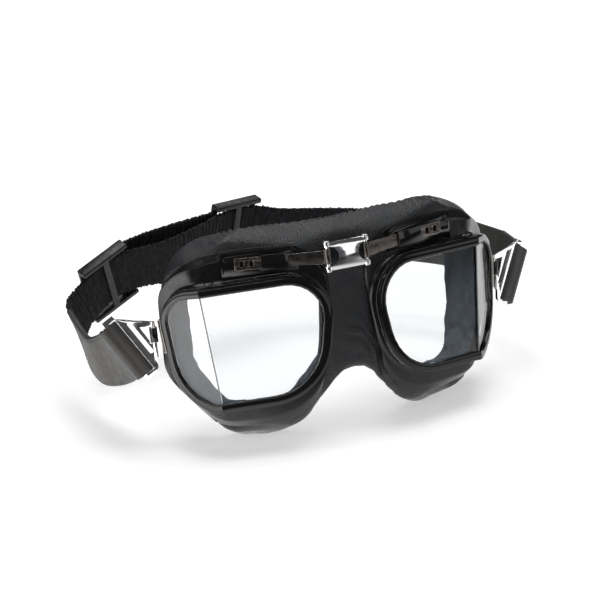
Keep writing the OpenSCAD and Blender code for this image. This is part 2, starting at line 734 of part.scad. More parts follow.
module link(side) {
    top = tab_high + tab_gap;
    low = tab_low - tab_gap;
    pin_top = -5.6;
    pin_low = -20.5;
    color([0.8, 0.8, 0.8]) on_side_of(side) link_frame() {
        translate([0, link_t / 2, 0]) rotate([90, 0, 0]) linear_extrude(link_t) difference() {
            polygon([
                [0, pin_top], slanted(slot_in, top + 0.2), slanted(slot_in + 0.2, top + link_end),
                slanted(bar_out, top + link_end), slanted(bar_out, low - link_end),
                slanted(slot_in + 0.2, low - link_end), slanted(-1.5, low - 0.5), [0, pin_low]
            ]);
            polygon([
                slanted(slot_in, low), slanted(slot_in, top), slanted(slot_out, top), slanted(slot_out, low)
            ]);
            polygon([[0, -7.4], [5.4, -7.4], [hook_r + 0.3, -13.4], [hook_r + 0.3, -14.8], [0, -14.8]]);
            for (t = slot_ends) translate(slanted(slot_n, t)) circle(r = slot_r, $fn = 24);
            polygon([for (c = [[-1, 0], [-1, 1], [1, 1], [1, 0]])
                slanted(slot_n + c[0] * slot_r, slot_ends[c[1]])
            ]);
        }
        translate([0, 0, pin_low]) cylinder(r = link_pin_r, h = pin_top - pin_low);
    }
}

// Leather strap end: a loop round the link's bar and the tongue that runs on to the elastic
module tab_loop() {
    link_frame() multmatrix([
        [cos(link_slant), 0, sin(link_slant), slanted(0, tab_low)[0]],
        [0, 1, 0, 0],
        [-sin(link_slant), 0, cos(link_slant), slanted(0, tab_low)[1]],
        [0, 0, 0, 1]
    ]) linear_extrude(tab_w) difference() {
        hull() for (n = [loop_in + loop_t / 2, loop_out - loop_t / 2])
            translate([n, 0]) circle(r = loop_t / 2, $fn = 32);
        hull() for (n = [loop_in + loop_t / 2, bar_out - 0.3])
            translate([n, 0]) circle(r = link_t / 2 + 0.2, $fn = 24);
    }
}

// A point of the link's slanted edge, in the strap's frame
function lean_back(p) = [
    p[0], p[1] * cos(lean) + p[2] * sin(lean), p[2] * cos(lean) - p[1] * sin(lean) + strap_height
];
function tab_start(side, n, back) =
    let (
        q = slanted(n, tab_low + tab_w / 2),
        p = lean_back([
            hook_x + q[0] * cos(link_swing) - back * sin(link_swing),
            hook_y + q[0] * sin(link_swing) + back * cos(link_swing),
            q[1]
        ]),
        w = lean_back([sin(link_slant) * cos(link_swing), sin(link_slant) * sin(link_swing), cos(link_slant)])
            - [0, 0, strap_height]
    )
    [[side * p[0], p[1], p[2]], [side * w[0], w[1], w[2]]];

module strap_tab(side) {
    exit_n = loop_out - tab_t / 2 - 0.1;
    route = concat([tab_start(side, exit_n, -0.9), tab_start(side, exit_n, 2.2)],
        side < 0 ? left_tab_route : right_tab_route);
    color([0.08, 0.07, 0.07]) {
        on_side_of(side) tab_loop();
        strap_frame() band(route, tab_w - 0.2, tab_t);
    }
}

module elastic() {
    color([0.05, 0.05, 0.06]) strap_frame() {
        band(elastic_route, elastic_w, elastic_t);
        band(return_route, elastic_w, elastic_t);
    }
}

// Slider: two rails joined by two bars behind the strap and one before it
// It hangs a little below the strap's centre line, which curves down to both sides of it.
slider_play = 2;
slider_sag = 0.35;
rail_t = 5;
bar_t = 1.4;

module slider(place) {
    x = route_along(elastic_route, place);
    z = square_to(route_part(elastic_route, place, 1), x);
    y = cross(z, x);
    at = route_part(elastic_route, place, 0) - slider_sag * z;
    rail_h = (slider_h - elastic_w - slider_play) / 2;
    color([0.04, 0.04, 0.045]) strap_frame() multmatrix([
        [x[0], y[0], z[0], at[0]], [x[1], y[1], z[1], at[1]], [x[2], y[2], z[2], at[2]], [0, 0, 0, 1]
    ]) {
        for (s = [-1, 1])
            translate([0, 0, s * (slider_h - rail_h) / 2]) cube([slider_l, rail_t, rail_h], center = true);
        for (s = [-1, 1])
            translate([s * (slider_l - slider_bar) / 2, (rail_t - bar_t) / 2, 0])
                cube([slider_bar, bar_t, slider_h - rail_h], center = true);
        translate([0, -(rail_t - bar_t) / 2, 0]) cube([slider_bar, bar_t, slider_h - rail_h], center = true);
    }
}

bridge_plate();
hinge_pins();
face_cushion();
elastic();
arm(-1);  // arm_left
arm(1);  // arm_right
sleeve(-1);  // sleeve_left
sleeve(1);  // sleeve_right
brow_plate(-1);  // brow_plate_left
brow_plate(1);  // brow_plate_right
rivets(-1);  // rivets_left
rivets(1);  // rivets_right
rim(-1);  // rim_left
rim(1);  // rim_right
seat_frame(-1);  // seat_frame_left
seat_frame(1);  // seat_frame_right
lens_front(-1);  // lens_front_left
lens_front(1);  // lens_front_right
lens_side(-1);  // lens_side_left
lens_side(1);  // lens_side_right
eyecup(-1);  // eyecup_left
eyecup(1);  // eyecup_right
lining(-1);  // lining_left
lining(1);  // lining_right
clamp_screw(-1);  // clamp_screw_left
clamp_screw(1);  // clamp_screw_right
bracket(-1);  // bracket_left
bracket(1);  // bracket_right
link(-1);  // link_left
link(1);  // link_right
strap_tab(-1);  // strap_tab_left
strap_tab(1);  // strap_tab_right
slider(slider_front_at);  // slider_front
slider(slider_back_at);  // slider_back
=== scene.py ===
"""Goggles with folded panes, a hinged bridge, a leather face cushion and an elastic strap.
Shapes are worked out in millimetres, in the frame of the upright pair, and leaned back on to the floor."""
import bpy
import bmesh
import json
import math
import numpy as np
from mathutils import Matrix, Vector, noise

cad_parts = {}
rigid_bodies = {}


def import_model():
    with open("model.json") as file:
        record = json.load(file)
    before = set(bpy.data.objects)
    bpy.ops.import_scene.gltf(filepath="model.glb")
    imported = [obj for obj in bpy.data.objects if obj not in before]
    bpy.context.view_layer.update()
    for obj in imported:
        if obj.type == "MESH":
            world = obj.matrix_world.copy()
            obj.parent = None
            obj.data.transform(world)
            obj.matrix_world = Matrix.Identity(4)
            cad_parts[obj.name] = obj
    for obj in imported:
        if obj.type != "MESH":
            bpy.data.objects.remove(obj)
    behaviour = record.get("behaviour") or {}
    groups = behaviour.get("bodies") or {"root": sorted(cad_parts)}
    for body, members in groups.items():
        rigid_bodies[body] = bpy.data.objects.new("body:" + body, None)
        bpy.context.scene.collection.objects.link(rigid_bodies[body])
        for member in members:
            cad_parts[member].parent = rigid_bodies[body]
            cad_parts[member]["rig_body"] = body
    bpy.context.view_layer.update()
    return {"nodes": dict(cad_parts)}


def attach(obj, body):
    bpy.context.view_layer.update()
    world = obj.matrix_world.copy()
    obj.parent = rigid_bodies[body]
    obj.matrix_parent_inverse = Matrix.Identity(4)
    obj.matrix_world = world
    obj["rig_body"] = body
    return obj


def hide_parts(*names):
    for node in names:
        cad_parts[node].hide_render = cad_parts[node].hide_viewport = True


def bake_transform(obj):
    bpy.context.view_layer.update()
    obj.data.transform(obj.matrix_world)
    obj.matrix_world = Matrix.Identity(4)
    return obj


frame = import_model()
nodes = frame["nodes"]

MM = 0.001
# As seen from the front
SIDES = {"left": -1, "right": 1}

# Stance of the pair
LEAN = math.radians(14.4)
STAND_HEIGHT = 64.1
STRAP_HEIGHT = 65.7
FRONT_SHIFT = 44.0

# Fold between front and side pane
FOLD = np.array([62.7, 3.1, 0.0])
FOLD_TOP = 3.5
FOLD_LENGTH = 45.0
WRAP = math.radians(11.3)
FOLD_ANGLE = math.radians(34.7)
FOLD_TILT = math.radians(5.1)
FOLD_LAP = 3.0
FOLD_FLAT = 2.4

RIM_W = 4.0
TEMPLE_RIM_W = RIM_W - 1.4
RIM_DEPTH = 3.2
CUP_T = 1.2


# Frames
def leaned(points):
    """From the upright pair in millimetres to the row frame in metres."""
    p = np.asarray(points, float)
    c, s = math.cos(LEAN), math.sin(LEAN)
    y = p[..., 1] * c + p[..., 2] * s - FRONT_SHIFT
    z = p[..., 2] * c - p[..., 1] * s + STAND_HEIGHT
    return np.stack([p[..., 0], y, z], -1) * MM


def upright(points):
    """Back from the row frame in metres to the upright pair in millimetres."""
    p = np.asarray(points, float) / MM
    c, s = math.cos(LEAN), math.sin(LEAN)
    y, z = p[..., 1] + FRONT_SHIFT, p[..., 2] - STAND_HEIGHT
    return np.stack([p[..., 0], y * c - z * s, z * c + y * s], -1)


STRAP_FRAME = np.array([0, -FRONT_SHIFT, STAND_HEIGHT - STRAP_HEIGHT])


def from_strap(points):
    return (np.asarray(points, float) + STRAP_FRAME) * MM


def between(a, b, f):
    return (1 - f) * a + f * b


# Rounded outlines
NEARLY_STRAIGHT = 0.05
SMALLEST_RADIUS = 0.5


def unit(v):
    v = np.asarray(v, float)
    return v / np.linalg.norm(v)


def corner_arc(a, b, c, radius, steps):
    """Points of the rounded corner b between a and c; a corner that hardly turns keeps to its two edges."""
    a, b, c = (np.asarray(p[:2], float) for p in (a, b, c))
    if steps < 2 or radius <= 0:
        return [b]
    to_a, to_c = unit(a - b), unit(c - b)
    opening = math.acos(max(-1, min(1, float(to_a @ to_c))))
    turn = math.pi - opening
    places = [k / (steps - 1) for k in range(steps)]
    if turn < NEARLY_STRAIGHT:
        return [b + radius * ((1 - f) * to_a + f * to_c) for f in places]
    centre = b + unit(to_a + to_c) * radius / math.sin(opening / 2)
    start = b + to_a * radius / math.tan(opening / 2) - centre
    finish = b + to_c * radius / math.tan(opening / 2) - centre
    arms = [math.sin((1 - f) * turn) * start + math.sin(f * turn) * finish for f in places]
    return [centre + arm / math.sin(turn) for arm in arms]


def grown(corners, d):
    """The outline of corners [x, z, radius, ...] moved outward by d."""
    out = []
    for i, b in enumerate(corners):
        a, c = corners[i - 1], corners[(i + 1) % len(corners)]
        into, away = unit(np.subtract(b[:2], a[:2])), unit(np.subtract(c[:2], b[:2]))
        side_in, side_out = np.array([-into[1], into[0]]), np.array([-away[1], away[0]])
        p = np.array(b[:2]) + (side_in + side_out) * d / (1 + side_in @ side_out)
        out.append([p[0], p[1], max(SMALLEST_RADIUS, b[2] + d) if b[2] > 0 else 0] + list(b[3:]))
    return out


def fold_point(x, t):
    """Point of the front pane's plane, x beside the fold and t along it."""
    c, s = math.cos(FOLD_TILT), math.sin(FOLD_TILT)
    return [x * c + t * s, FOLD_TOP + t * c - x * s, 0]


FRONT_OPENING = [
    [-44.8, -41.2, 22], [-52.7, FOLD_TOP + 0.1, 15], fold_point(-FOLD_FLAT, 0), fold_point(FOLD_LAP, 0),
    fold_point(FOLD_LAP, -FOLD_LENGTH), fold_point(-FOLD_FLAT, -FOLD_LENGTH),
]
SIDE_OPENING = [
    [-FOLD_LAP, 0, 0], [FOLD_FLAT, 0, 0], [16.8, 0.8, 10], [16.4, 7 - FOLD_LENGTH, 21],
    [FOLD_FLAT, -FOLD_LENGTH, 0], [-FOLD_LAP, -FOLD_LENGTH, 0],
]


def side_grown(d):
    """The side opening grown by d, with a narrower rim at the temple."""
    g = grown(SIDE_OPENING, d)
    inset = (RIM_W - TEMPLE_RIM_W) * d / RIM_W
    for corner in (2, 3):
        g[corner][0] -= inset
    return g


def turn_z(p, a):
    c, s = math.cos(a), math.sin(a)
    return np.array([p[0] * c - p[1] * s, p[0] * s + p[1] * c, p[2]])


def turn_y(p, a):
    c, s = math.cos(a), math.sin(a)
    return np.array([p[0] * c + p[2] * s, p[1], p[2] * c - p[0] * s])


def on_front(u, z, v):
    """Place v behind the front pane, on the +X side of the upright pair."""
    return FOLD + turn_z([u, v, z], WRAP)


def on_side(s, t, v):
    """Place v behind the side pane, s from the fold and t along it."""
    return FOLD + turn_z(np.array([0, 0, FOLD_TOP]) + turn_y(turn_z([s, v, t], FOLD_ANGLE), FOLD_TILT), WRAP)


def pane_depth(x, z):
    """Depth of the panes' faces at x, z of the upright pair."""
    past_fold = max(0, x - FOLD[0] - (z - FOLD_TOP) * math.tan(FOLD_TILT))
    front = FOLD[1] + (x - FOLD[0]) * math.tan(WRAP)
    return front + past_fold * (math.tan(WRAP + FOLD_ANGLE) - math.tan(WRAP))


# Points that a loop round an eye has at nose top, fold top, temple top, temple bottom, lobe, inner bottom,
# shoulder, arch and nose side, and the places of a rim's points along its straight nose side
STEPS = [9, 1, 11, 9, 7, 9, 3, 1, 1]
NOSE_EDGE = [0.1, 0.15, 0.2, 0.45, 0.8]


def loop_behind_pane(corners, shift=0.0):
    """Loop through corners [x, z, radius, depth behind the panes]."""
    loop = []
    for i, b in enumerate(corners):
        for p in corner_arc(corners[i - 1], b, corners[(i + 1) % len(corners)], b[2], STEPS[i]):
            loop.append([p[0], pane_depth(p[0], p[1]) + b[3] + shift, p[1]])
    return np.array(loop)


def loop_at_depth(corners):
    """Loop through corners [x, z, radius, depth]."""
    loop = []
    for i, b in enumerate(corners):
        for p in corner_arc(corners[i - 1], b, corners[(i + 1) % len(corners)], b[2], STEPS[i]):
            loop.append([p[0], b[3], p[1]])
    return np.array(loop)


def rim_loop(g, v):
    """Loop round both panes, grown by g from the openings and v behind the panes."""
    f, s = grown(FRONT_OPENING, g), side_grown(g)
    nose_top = corner_arc(f[0], f[1], f[2], f[1][2], STEPS[0])
    temple_top = corner_arc(s[1], s[2], s[3], s[2][2], STEPS[2])
    temple_bottom = corner_arc(s[2], s[3], s[4], s[3][2], STEPS[3])
    inner_bottom = corner_arc(f[5], f[0], f[1], f[0][2], STEPS[5])
    bend = v * math.tan(FOLD_ANGLE / 2)
    half = STEPS[4] // 2
    points = [on_front(p[0], p[1], v) for p in nose_top]
    points.append(on_side(bend, g, v))
    points += [on_side(p[0], p[1], v) for p in temple_top + temple_bottom]
    points += [on_side(between(s[4][0], bend, k / half), -FOLD_LENGTH - g, v) for k in range(half + 1)]
    low_bend = np.array(fold_point(-bend, -FOLD_LENGTH - g))
    for k in range(1, half + 1):
        p = between(low_bend, np.array(f[5][:3]), k / half)
        points.append(on_front(p[0], p[1], v))
    points += [on_front(p[0], p[1], v) for p in inner_bottom]
    points += [on_front(*between(inner_bottom[-1], nose_top[0], k), v) for k in NOSE_EDGE]
    return np.array(points)


# Meshes, and the angles at which an edge is taken as flat, rounded off or left sharp
FLAT_ANGLE = math.radians(1)
BEVEL_ANGLE = math.radians(35)
SHARP_ANGLE = math.radians(40)


def new_piece(name, verts, faces, smooth=True):
    mesh = bpy.data.meshes.new(name)
    mesh.from_pydata([tuple(v) for v in verts], [], [tuple(int(i) for i in f) for f in faces])
    mesh.validate()
    piece = bpy.data.objects.new(name, mesh)
    bpy.context.scene.collection.objects.link(piece)
    bm = bmesh.new()
    bm.from_mesh(mesh)
    bmesh.ops.recalc_face_normals(bm, faces=bm.faces)
    bm.to_mesh(mesh)
    bm.free()
    for polygon in mesh.polygons:
        polygon.use_smooth = smooth
    return piece


def ring_skin(name, loops, side):
    """Closed ring over loops with equal numbers of points, on one side of the pair."""
    grid = np.array([leaned(np.array(l) * [side, 1, 1]) for l in loops])
    rows, count = grid.shape[:2]
    faces = [[k * count + i, ((k + 1) % rows) * count + i, ((k + 1) % rows) * count + (i + 1) % count,
              k * count + (i + 1) % count] for k in range(rows) for i in range(count)]
    return new_piece(name, grid.reshape(-1, 3), faces)


def settled(piece):
    """Applies a piece's modifiers, so that its mesh is final."""
    bpy.context.view_layer.update()
    mesh = bpy.data.meshes.new_from_object(piece.evaluated_get(bpy.context.evaluated_depsgraph_get()))
    piece.modifiers.clear()
    piece.data = mesh
    return piece


def subdivided(piece, levels):
    m = piece.modifiers.new("subdivision", "SUBSURF")
    m.levels = m.render_levels = levels
    return settled(piece)


def dressed(node, material, width, segments, edge_highlight=None):
    """Replaces a CAD node by a copy with its edges rounded off by width, the rounded edges in a brighter bare
    metal if one is given: painted highlight where edges catch light.
    """
    piece = bpy.data.objects.new("dressed_" + node, nodes[node].data.copy())
    bpy.context.scene.collection.objects.link(piece)
    bm = bmesh.new()
    bm.from_mesh(piece.data)
    bmesh.ops.remove_doubles(bm, verts=bm.verts, dist=2e-6)
    bmesh.ops.dissolve_limit(bm, angle_limit=FLAT_ANGLE, verts=bm.verts, edges=bm.edges)
    bm.to_mesh(piece.data)
    bm.free()
    finish_piece(piece, material, frame_body(node))
    bevel = piece.modifiers.new("edge", "BEVEL")
    bevel.width = width * MM
    bevel.segments = segments
    bevel.limit_method = "ANGLE"
    bevel.angle_limit = BEVEL_ANGLE
    bevel.use_clamp_overlap = True
    # Painted highlight: the bevelled edges take the brighter bare metal, standing in for the light that they
    # catch
    if edge_highlight:
        piece.data.materials.append(edge_highlight)
        bevel.material = 1
    settled(piece)
    if "sharp_edge" in piece.data.attributes:
        piece.data.attributes.remove(piece.data.attributes["sharp_edge"])
    piece.data.shade_smooth()
    piece.data.set_sharp_from_angle(angle=SHARP_ANGLE)
    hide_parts(node)


def frame_body(node):
    return nodes[node]["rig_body"]


def finish_piece(piece, material, body=None):
    piece.data.materials.clear()
    piece.data.materials.append(material)
    if body:
        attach(piece, body)


# Materials; most of a noise's values lie in NOISE_SPAN
NOISE_SPAN = (0.35, 0.65)


def shader(name, slot, base, roughness, metallic=0.0, **sockets):
    material = bpy.data.materials.new(name)
    material.use_nodes = True
    material["slot"] = slot
    b = material.node_tree.nodes["Principled BSDF"]
    b.inputs["Base Color"].default_value = (*base, 1)
    b.inputs["Roughness"].default_value = roughness
    b.inputs["Metallic"].default_value = metallic
    for key, value in sockets.items():
        b.inputs[key.replace("_", " ")].default_value = value
    return material


def add(material, kind, **values):
    node = material.node_tree.nodes.new(kind)
    for key, value in values.items():
        if hasattr(node, key):
            setattr(node, key, value)
        else:
            node.inputs[key.replace("_", " ")].default_value = value
    return node


def link(material, a, out, b, into):
    material.node_tree.links.new(a.outputs[out], b.inputs[into])


def mottled(material, low, high, scale, into="Base Color"):
    """Varies a colour or the roughness over the surface between two values."""
    b = material.node_tree.nodes["Principled BSDF"]
    place = add(material, "ShaderNodeTexCoord")
    pattern = add(material, "ShaderNodeTexNoise", Scale=scale, Detail=4)
    link(material, place, "Object", pattern, "Vector")
    if into == "Base Color":
        ramp = add(material, "ShaderNodeValToRGB")
        ramp.color_ramp.elements[0].position, ramp.color_ramp.elements[1].position = NOISE_SPAN
        ramp.color_ramp.elements[0].color = (*low, 1)
        ramp.color_ramp.elements[1].color = (*high, 1)
        link(material, pattern, "Fac", ramp, "Fac")
        link(material, ramp, "Color", b, into)
    else:
        span = add(material, "ShaderNodeMapRange")
        span.inputs["From Min"].default_value, span.inputs["From Max"].default_value = NOISE_SPAN
        span.inputs["To Min"].default_value, span.inputs["To Max"].default_value = low, high
        link(material, pattern, "Fac", span, "Value")
        link(material, span, "Result", b, into)


def bumped(material, height, out, strength, distance):
    """Adds a relief to the material's normal, on top of one that is already there."""
    b = material.node_tree.nodes["Principled BSDF"]
    relief = add(material, "ShaderNodeBump", Strength=strength, Distance=distance)
    link(material, height, out, relief, "Height")
    if b.inputs["Normal"].is_linked:
        before = b.inputs["Normal"].links[0].from_node
        link(material, before, "Normal", relief, "Normal")
    link(material, relief, "Normal", b, "Normal")


def relief_noise(material, scale, strength, distance, kind="ShaderNodeTexNoise", out="Fac"):
    """Adds a fine relief; distance is its height in metres and scale its waves per metre."""
    place = add(material, "ShaderNodeTexCoord")
    pattern = add(material, kind, Scale=scale)
    if kind == "ShaderNodeTexNoise":
        pattern.inputs["Detail"].default_value = 3
    link(material, place, "Object", pattern, "Vector")
    bumped(material, pattern, out, strength, distance)


def enamel(name="gloss_enamel", low=0.06, high=0.13):
    m = shader(name, "black_enamel", (0.006, 0.006, 0.0065), 0.1, Specular_IOR_Level=0.42)
    mottled(m, low, high, 260, into="Roughness")
    relief_noise(m, 900, 0.06, 0.0001)
    return m


def polished(name="polished_plate", slot="chrome", base=(0.8, 0.8, 0.81), low=0.05, high=0.16):
    m = shader(name, slot, base, 0.1, 1.0)
    mottled(m, low, high, 420, into="Roughness")
    relief_noise(m, 260, 0.05, 0.0002)
    return m


def grained_leather(name="grained_leather", slot="leather", base=(0.007, 0.008, 0.0095), grain=1750,
                    strength=0.9, sheen=(0.3, 0.42)):
    m = shader(name, slot, base, 0.5, Specular_IOR_Level=0.5)
    mottled(m, base, tuple(v * 1.9 for v in base), 60)
    mottled(m, *sheen, 300, into="Roughness")
    relief_noise(m, grain, strength, 0.00023, kind="ShaderNodeTexVoronoi", out="Distance")
    relief_noise(m, grain * 2.2, strength * 0.5, 0.0001)
    return m


def velvet():
    """Pile that lies in streaks lower down, with painted shade that darkens it towards the brow."""
    m = shader("pile_lining_painted_shade", "velvet", (0.02, 0.03, 0.05), 0.9, Specular_IOR_Level=0.15, Sheen_Weight=0.12)
    b = m.node_tree.nodes["Principled BSDF"]
    place = add(m, "ShaderNodeTexCoord")
    streaks = add(m, "ShaderNodeTexNoise", Scale=220, Detail=6)
    stretched = add(m, "ShaderNodeMapping")
    stretched.inputs["Scale"].default_value = (1, 1, 0.35)
    apart = add(m, "ShaderNodeSeparateXYZ")
    # Painted shade: a factor that falls from 1 low down to 0.25 near the brow, darkening the pile there
    height = add(m, "ShaderNodeMapRange")
    height.inputs["From Min"].default_value, height.inputs["From Max"].default_value = 0.025, 0.07
    height.inputs["To Min"].default_value, height.inputs["To Max"].default_value = 1, 0.25
    # Streaks, darkened near the brow by the painted shade
    depth = add(m, "ShaderNodeMath", operation="MULTIPLY")
    ramp = add(m, "ShaderNodeValToRGB")
    ramp.color_ramp.elements[0].position, ramp.color_ramp.elements[1].position = 0.16, 0.58
    ramp.color_ramp.elements[0].color = (0.003, 0.005, 0.01, 1)
    ramp.color_ramp.elements[1].color = (0.09, 0.125, 0.16, 1)
    link(m, place, "Object", stretched, "Vector")
    link(m, stretched, "Vector", streaks, "Vector")
    link(m, place, "Object", apart, "Vector")
    link(m, apart, "Z", height, "Value")
    link(m, streaks, "Fac", depth, 0)
    link(m, height, "Result", depth, 1)
    link(m, depth, "Value", ramp, "Fac")
    link(m, ramp, "Color", b, "Base Color")
    relief_noise(m, 220, 0.6, 0.002)
    relief_noise(m, 3200, 0.6, 0.0003)
    return m


def ribbed_webbing():
    m = shader("ribbed_webbing", "webbing", (0.007, 0.007, 0.009), 0.8, Specular_IOR_Level=0.2,
               Sheen_Weight=0.1)
    mottled(m, (0.003, 0.003, 0.004), (0.014, 0.014, 0.018), 500)
    relief_noise(m, 4200, 0.4, 0.0002)
    return m


def moulded_plastic():
    m = shader("moulded_plastic", "buckle_plastic", (0.012, 0.012, 0.013), 0.3, Specular_IOR_Level=0.35)
    mottled(m, 0.22, 0.42, 500, into="Roughness")
    relief_noise(m, 1800, 0.1, 0.0001)
    return m


def pane_glass():
    m = shader("clear_pane", "glass", (0.935, 0.95, 0.96), 0.02, Transmission_Weight=1.0, IOR=1.46)
    relief_noise(m, 30, 0.02, 0.0002)
    return m


def ground_glass():
    m = shader("ground_edges", "glass", (0.2, 0.21, 0.22), 0.5)
    mottled(m, 0.4, 0.6, 900, into="Roughness")
    return m


def thread():
    m = shader("waxed_thread", "strap_leather", (0.02, 0.019, 0.018), 0.6)
    mottled(m, (0.012, 0.012, 0.012), (0.04, 0.038, 0.036), 2500)
    return m


ENAMEL = enamel()
SATIN_ENAMEL = enamel("satin_enamel", 0.2, 0.32)
CHROME = polished()
STEEL = polished("darkened_steel", "dark_steel", (0.11, 0.1, 0.092), 0.2, 0.4)
# Bare metal, brighter than the enamel, for bevelled edges and the rim's outer edge: painted highlight where
# edges catch light
BARE_METAL_HIGHLIGHT = polished("bare_metal_painted_highlight", "black_enamel", (0.6, 0.54, 0.47), 0.3, 0.5)
LEATHER = grained_leather()
STRAP_LEATHER = grained_leather("strap_hide", "strap_leather", (0.024, 0.0225, 0.021), 2600, 0.2, (0.5, 0.62))
VELVET = velvet()
WEBBING = ribbed_webbing()
PLASTIC = moulded_plastic()
GLASS = pane_glass()
GROUND_GLASS = ground_glass()
THREAD = thread()

# Rim: a rolled channel round both panes, as [growth from the opening, depth behind the panes]
RIM_PROFILE = [
    [0.35, 0.0], [0.05, -0.25], [0.0, -0.6], [0.15, -1.0], [0.6, -1.25], [1.4, -1.3], [2.4, -1.28],
    [3.2, -1.15], [3.75, -0.75], [4.0, -0.1], [4.0, 0.3], [4.0, 0.8], [4.0, 2.8], [3.85, 3.1], [3.5, 3.2],
    [2.9, 3.2], [2.8, 3.0], [2.8, 1.4], [2.8, 0.05],
]
# Two rows of the profile at the outer edge; the band between them is bright bare metal, a painted reflection
# of the line that gloss shows there
PAINTED_REFLECTION_ROWS = (10, 11)
RIM_CREASE = math.radians(28)


def make_rim(name, side):
    """The channel, with bright bare metal between the two rows of its profile named above: a painted
    reflection along its outer edge.
    """
    loops = [rim_loop(g, v) for g, v in RIM_PROFILE]
    piece = ring_skin("rim_channel_" + name, loops, side)
    piece.data.set_sharp_from_angle(angle=RIM_CREASE)
    finish_piece(piece, ENAMEL, "cup_" + name)
    piece.data.materials.append(BARE_METAL_HIGHLIGHT)
    # Painted reflection: faces between those two rows take the bright bare metal
    for face in piece.data.polygons:
        if {v // len(loops[0]) for v in face.vertices} == set(PAINTED_REFLECTION_ROWS):
            face.material_index = 1
    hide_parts("rim_" + name)


# Eyecup: its outer edge and its seam with the leather
CUP_LEDGE = 0.7
LEDGE_DROP = 0.2
INNER_LEDGE = 0.6
RIM_GAP = 0.05
BROW_EDGE = [
    [6.3, 16.5, 18, 4.9], [50, 17.6, 0, 4.9], [74.4, 12, 14, 6], [74.3, -30.5, 20, 5.5],
    [57.7, -50.3, 15, 5.5], [14, -51.5, 24, 5], [11.6, -28, 1, 4.8], [10.7, -20, 0, 4.8], [8.9, -4, 0, 4.8],
]
SEAM = [
    [5.7, 19, 20, 5.8], [54, 20.5, 0, 7.5], [72.3, 13.8, 18, 9.2], [72.9, -31.5, 22, 9], [56.4, -54, 16, 10],
    [15, -55, 24, 7], [11, -28, 1, 5.8], [10.1, -20, 0, 5.8], [8.2, -4, 0, 5.8],
]


def make_eyecup(name, side):
    front = rim_loop(RIM_W, RIM_DEPTH + RIM_GAP)
    ledge = rim_loop(RIM_W + CUP_LEDGE, RIM_DEPTH + CUP_T + LEDGE_DROP)
    brow, seam = loop_behind_pane(BROW_EDGE), loop_behind_pane(SEAM)
    seam_in = loop_behind_pane(grown(SEAM, -CUP_T))
    brow_in = loop_behind_pane(grown(BROW_EDGE, -CUP_T), CUP_T)
    ledge_in = rim_loop(RIM_W - INNER_LEDGE, RIM_DEPTH + 2 * CUP_T + LEDGE_DROP)
    front_in = rim_loop(RIM_W - CUP_T, RIM_DEPTH + RIM_GAP)
    loops = [front, between(front, ledge, 0.5), ledge]
    loops += [between(ledge, brow, f) for f in (0.1, 0.5, 0.85)] + [brow]
    loops += [between(brow, seam, f) for f in (0.25, 0.6, 0.93)] + [seam]
    loops += [seam_in, between(seam_in, brow_in, 0.5), brow_in, ledge_in, front_in]
    piece = ring_skin("cup_shell_" + name, loops, side)
    subdivided(piece, 1)
    piece.data.shade_smooth()
    finish_piece(piece, SATIN_ENAMEL, "cup_" + name)
    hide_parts("eyecup_" + name)


# Lining: a strip of cloth from the cup to the cushion's lip, turned over the lip, as [growth from the lip,
# back], and tucked under; its pile stands uneven, as [noise per metre, depth]
CUSHION_WALL = [
    [8.8, 10.8, 16, 7.4], [54, 13.4, 0, 13.5], [62.5, 9.2, 15, 24], [62.2, -27, 20, 25], [51, -48.6, 13, 17],
    [21, -48.8, 15, 12.3], [12.8, -29, 2, 4.3], [11.5, -22, 0, 3.3], [9.9, -3, 0, 2.8],
]
CUSHION_LIP = [
    [6.4, 11.2, 13, 12], [42, 13.2, 0, 17], [59.9, 9, 16, 28.5], [59.4, -27, 18, 29.5], [50, -47.4, 12, 22.5],
    [22, -47.4, 13, 15.5], [11.2, -31, 3, 7.4], [8.8, -23, 0, 6.3], [7.4, -1, 0, 6.4],
]
INNER_INSET = -3.0
CUSHION_GAP = 0.3
LINING_T = 1.0
TUCK = 0.6
LIP_TURN = [[-0.975, 0.7], [-0.1, 1.35], [1.3, 2.0], [1.9, 1.2], [1.0, 0.4]]
PILE = [[260, 0.45], [800, 0.2]]


def make_lining(name):
    side = SIDES[name]
    skin = -CUSHION_GAP - LINING_T
    at_cup, at_wall, at_lip = grown(SEAM, INNER_INSET), CUSHION_WALL, CUSHION_LIP
    loops = [loop_behind_pane(grown(at_cup, skin), CUSHION_GAP)]
    loops += [loop_at_depth(grown(line, skin)) for line in (at_wall, at_lip)]
    loops += [loop_at_depth(grown(at_lip, g)) + [0, back, 0] for g, back in LIP_TURN]
    loops += [loop_at_depth(grown(at_wall, TUCK)), loop_behind_pane(grown(at_cup, -CUSHION_GAP), CUSHION_GAP)]
    piece = subdivided(ring_skin("velvet_lining_" + name, loops, side), 2)
    for vertex in piece.data.vertices:
        vertex.co += vertex.normal * sum(noise.noise(vertex.co * scale) * depth for scale, depth in PILE) * MM
    piece.data.shade_smooth()
    finish_piece(piece, VELVET)
    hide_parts("lining_" + name)
    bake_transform(piece)


# Ground edges of the two panes, which show as a fine line down the fold
FOLD_LINE_W = 0.45
FOLD_LINE_PROUD = 0.06
FOLD_LINE_DEEP = 0.3
FOLD_LINE_OVER = 0.15


